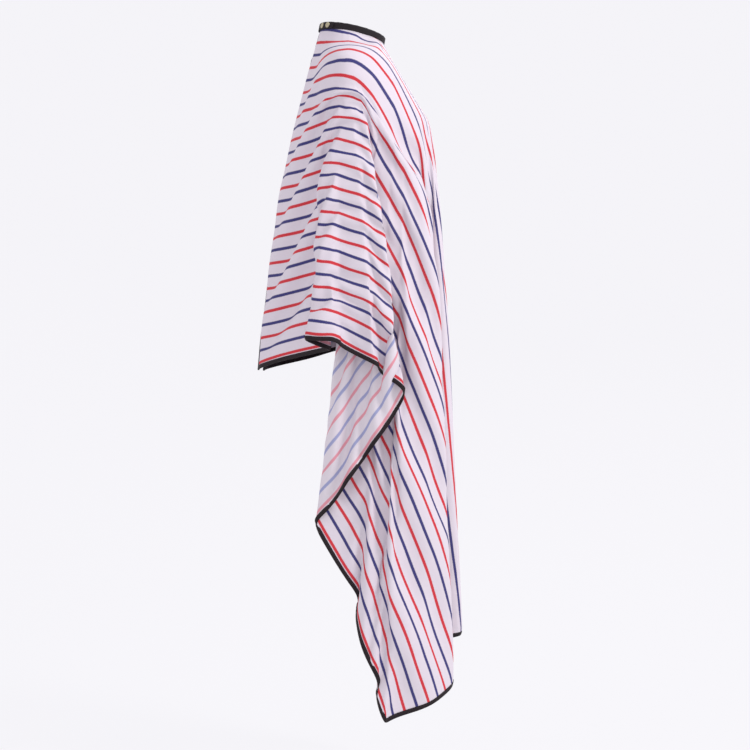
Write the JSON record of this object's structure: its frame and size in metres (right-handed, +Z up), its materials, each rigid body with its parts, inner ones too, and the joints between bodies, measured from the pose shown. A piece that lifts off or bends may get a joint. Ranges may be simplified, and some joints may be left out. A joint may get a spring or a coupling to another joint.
{
  "type": "barber cape",
  "caption": "Draped hairdressing cape of striped woven cloth with bound edges, hung from a snap-closed neckband and hanging longer at the front.",
  "frame": {"origin": "centre of the neck opening, on the neckband's axis at half the band's height", "axes": "+Z up, the wearer faces -Y, the wearer's right side is -X; the neckband's axis leans 12 degrees forward of +Z"},
  "size_m": [0.5005, 0.4114, 1.3701],
  "materials": {
    "striped_cloth": "matte",
    "binding_tape": "matte",
    "neckband_tape": "matte",
    "interlining": "matte",
    "snap_metal": "satin"
  },
  "bodies": {
    "cape": {"cape_cloth": "striped_cloth", "side_binding_right": "binding_tape", "side_binding_left": "binding_tape", "front_binding": "binding_tape", "back_binding_right": "binding_tape", "back_binding_left": "binding_tape", "neckband_outer": "neckband_tape", "neckband_interlining": "interlining", "neckband_lining": "neckband_tape", "tab_sewn_end": "neckband_tape", "snap_studs": "snap_metal", "snap_stud_backs": "snap_metal"},
    "closure_tab": {"tab_outer": "neckband_tape", "tab_interlining": "interlining", "tab_lining": "neckband_tape", "snap_caps": "snap_metal", "snap_sockets": "snap_metal"}
  },
  "joints": [
    {"name": "tab_peel", "type": "hinge", "parent": "cape", "child": "closure_tab", "pos_m": [0.01543, 0.06538, 0.0139], "axis": [0, 0.2079, -0.9781], "range_deg": [0, 120]}
  ]
}
